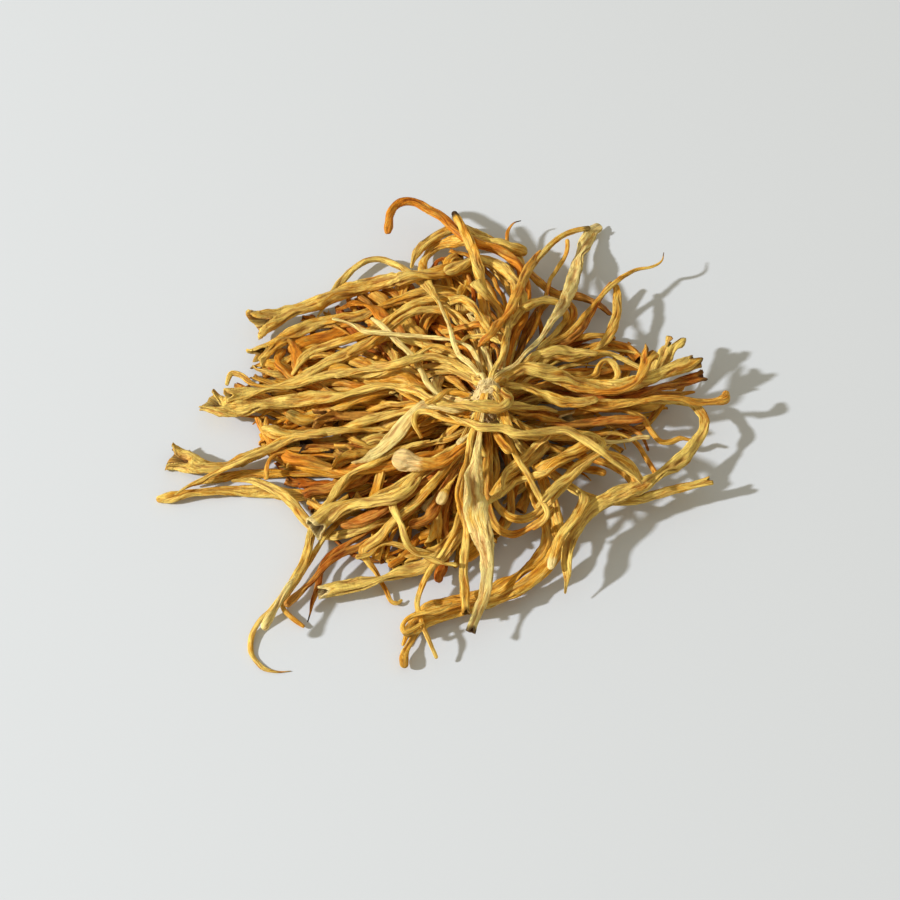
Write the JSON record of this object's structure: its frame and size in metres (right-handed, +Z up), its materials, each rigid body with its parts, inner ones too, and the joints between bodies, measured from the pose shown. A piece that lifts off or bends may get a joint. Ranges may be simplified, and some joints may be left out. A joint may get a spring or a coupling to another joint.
{
  "type": "dried cordyceps",
  "caption": "Clump of dried cordyceps lying base up: flattened golden-orange stalks splay from one pale woolly base and cross over one another down to the table.",
  "frame": {"origin": "middle of the clump's footprint, on the table", "axes": "+X to the viewer's right, along the longest extent; +Y away from the viewer; +Z up"},
  "size_m": [0.1352, 0.1342, 0.0221],
  "materials": {
    "wool": "matt, woolly",
    "pale_stalk": "satin, wrinkled",
    "gold_stalk": "satin, wrinkled",
    "orange_stalk": "satin, wrinkled",
    "brown_stalk": "satin, wrinkled"
  },
  "bodies": {
    "root": {"base": "wool", "stalk_01": "brown_stalk", "stalk_02": "gold_stalk", "stalk_03": "gold_stalk", "stalk_04": "brown_stalk", "stalk_05": "brown_stalk", "stalk_06": "brown_stalk", "stalk_07": "gold_stalk", "stalk_08": "pale_stalk", "stalk_09": "gold_stalk", "stalk_10": "gold_stalk", "stalk_11": "orange_stalk", "stalk_12": "gold_stalk", "stalk_13": "pale_stalk", "stalk_14": "gold_stalk", "stalk_15": "gold_stalk", "stalk_16": "orange_stalk", "stalk_17": "brown_stalk", "stalk_18": "orange_stalk", "stalk_19": "gold_stalk", "stalk_20": "orange_stalk", "stalk_21": "orange_stalk", "stalk_22": "gold_stalk", "stalk_23": "gold_stalk", "stalk_24": "gold_stalk", "stalk_25": "brown_stalk", "stalk_26": "gold_stalk", "stalk_27": "pale_stalk", "stalk_28": "brown_stalk", "stalk_29": "gold_stalk", "stalk_30": "gold_stalk", "stalk_31": "gold_stalk", "stalk_32": "pale_stalk", "stalk_33": "gold_stalk", "stalk_34": "orange_stalk", "stalk_35": "gold_stalk", "stalk_36": "gold_stalk", "stalk_37": "gold_stalk", "stalk_38": "gold_stalk", "stalk_39": "gold_stalk", "stalk_40": "gold_stalk", "stalk_41": "gold_stalk", "stalk_42": "pale_stalk", "stalk_43": "pale_stalk", "stalk_44": "pale_stalk", "stalk_45": "gold_stalk", "stalk_46": "gold_stalk", "stalk_47": "pale_stalk", "stalk_48": "gold_stalk", "stalk_49": "orange_stalk", "stalk_50": "gold_stalk", "stalk_51": "gold_stalk", "stalk_52": "gold_stalk", "stalk_53": "orange_stalk", "stalk_54": "gold_stalk", "stalk_55": "gold_stalk", "stalk_56": "pale_stalk", "stalk_57": "gold_stalk", "stalk_58": "pale_stalk", "stalk_59": "pale_stalk"}
  },
  "joints": []
}
